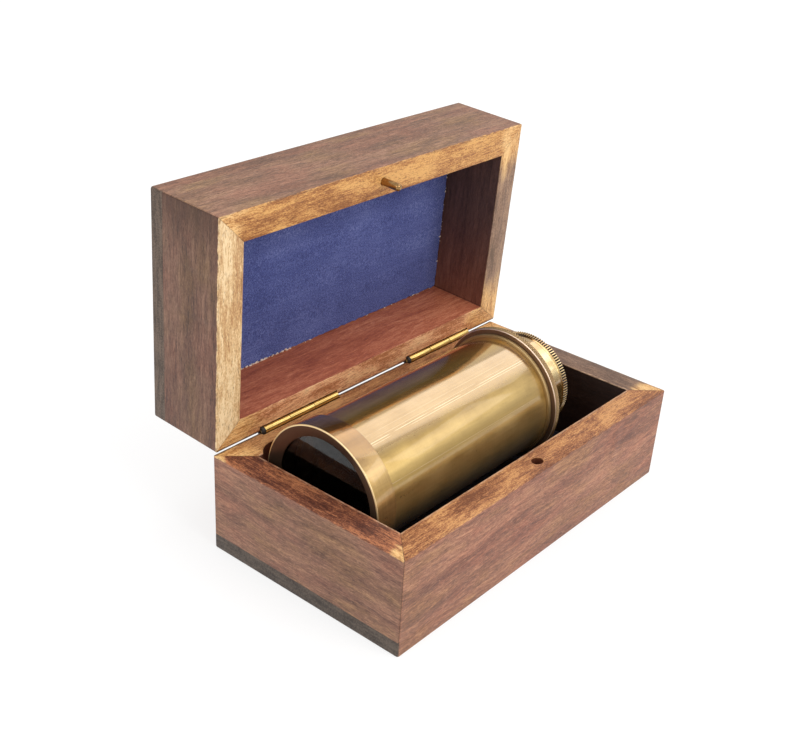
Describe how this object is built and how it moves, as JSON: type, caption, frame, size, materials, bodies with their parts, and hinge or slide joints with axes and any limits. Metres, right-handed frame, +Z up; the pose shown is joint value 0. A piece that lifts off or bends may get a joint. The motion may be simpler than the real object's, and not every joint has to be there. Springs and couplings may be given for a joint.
{
  "type": "kaleidoscope in a hinged case",
  "caption": "Turned brass kaleidoscope with a turning glass object cell and a screw-in eyecap, lying in its felt-lined hardwood case with a hinged lid and catch peg.",
  "frame": {"origin": "centre of the case's underside", "axes": "+X along the case from the object-cell end to the eyepiece end, -Y the front where the lid opens, +Y the hinge side, +Z up"},
  "size_m": [0.1676, 0.1232, 0.131],
  "materials": {
    "rosewood": "oiled open-grained rosewood, worn satin, golden on the sawn rims",
    "blue_felt": "thin pressed felt glued down",
    "bright_brass": "drawn brass, lightly tarnished",
    "aged_brass": "turned brass with an antique patina",
    "mirror_glass": "front-silvered glass",
    "packing": "plain card ring",
    "clear_glass": "polished",
    "chip_red": "tumbled coloured glass",
    "chip_blue": "tumbled coloured glass",
    "chip_amber": "tumbled coloured glass",
    "chip_green": "tumbled coloured glass",
    "chip_violet": "tumbled coloured glass",
    "chip_pink": "tumbled coloured glass",
    "chip_teal": "tumbled coloured glass"
  },
  "bodies": {
    "case": {"base_front_wall": "rosewood", "base_back_wall": "rosewood", "base_near_end_wall": "rosewood", "base_far_end_wall": "rosewood", "base_bottom_board": "rosewood", "base_felt_lining": "blue_felt", "hinge_1_base_leaf": "bright_brass", "hinge_1_pin": "bright_brass", "hinge_1_base_nail_1": "bright_brass", "hinge_1_base_nail_2": "bright_brass", "hinge_2_base_leaf": "bright_brass", "hinge_2_pin": "bright_brass", "hinge_2_base_nail_1": "bright_brass", "hinge_2_base_nail_2": "bright_brass"},
    "lid": {"lid_front_wall": "rosewood", "lid_back_wall": "rosewood", "lid_near_end_wall": "rosewood", "lid_far_end_wall": "rosewood", "lid_top_board": "rosewood", "lid_felt_lining": "blue_felt", "lid_peg": "aged_brass", "hinge_1_lid_leaf": "bright_brass", "hinge_1_lid_nail_1": "bright_brass", "hinge_1_lid_nail_2": "bright_brass", "hinge_2_lid_leaf": "bright_brass", "hinge_2_lid_nail_1": "bright_brass", "hinge_2_lid_nail_2": "bright_brass"},
    "kaleidoscope": {"main_tube": "aged_brass", "rear_flange_ring": "aged_brass", "mirror_1": "mirror_glass", "mirror_2": "mirror_glass", "mirror_3": "mirror_glass", "mirror_front_packing": "packing", "mirror_rear_packing": "packing"},
    "object_cell": {"cell_collar": "aged_brass", "cell_front_glass": "clear_glass", "cell_cup": "aged_brass", "cell_inner_glass": "clear_glass", "cell_retaining_ring": "aged_brass", "glass_chip_1": "chip_red", "glass_chip_2": "chip_blue", "glass_chip_3": "chip_amber", "glass_chip_4": "chip_green", "glass_chip_5": "chip_violet", "glass_chip_6": "chip_pink", "glass_chip_7": "chip_teal"},
    "eye_window": {"eye_window": "clear_glass"},
    "eyecap": {"eyecap": "aged_brass", "eye_window_keeper": "aged_brass"}
  },
  "joints": [
    {"name": "lid_hinge", "type": "hinge", "parent": "case", "child": "lid", "pos_m": [0, 0.0448, 0.04], "axis": [-1, 0, 0], "range_deg": [-87.4, 0]},
    {"name": "scope_lift", "type": "slide", "parent": "case", "child": "kaleidoscope", "axis": [0, 0, 1], "range_m": [0, 0.068]},
    {"name": "cell_turn", "type": "hinge", "parent": "kaleidoscope", "child": "object_cell", "pos_m": [0, 0.0051, 0.03546], "axis": [1, 0, 0.0096], "continuous": true},
    {"name": "eyecap_advance", "type": "slide", "parent": "kaleidoscope", "child": "eye_window", "axis": [1, 0, 0.0096], "range_m": [0, 0.003]},
    {"name": "eyecap_turn", "type": "hinge", "parent": "eye_window", "child": "eyecap", "pos_m": [0, 0.0051, 0.03546], "axis": [1, 0, 0.0096], "range_deg": [0, 1080]}
  ],
  "couplings": [
    {"joint": "eyecap_advance", "follows": "eyecap_turn", "m_per_rad": 0.000159}
  ]
}
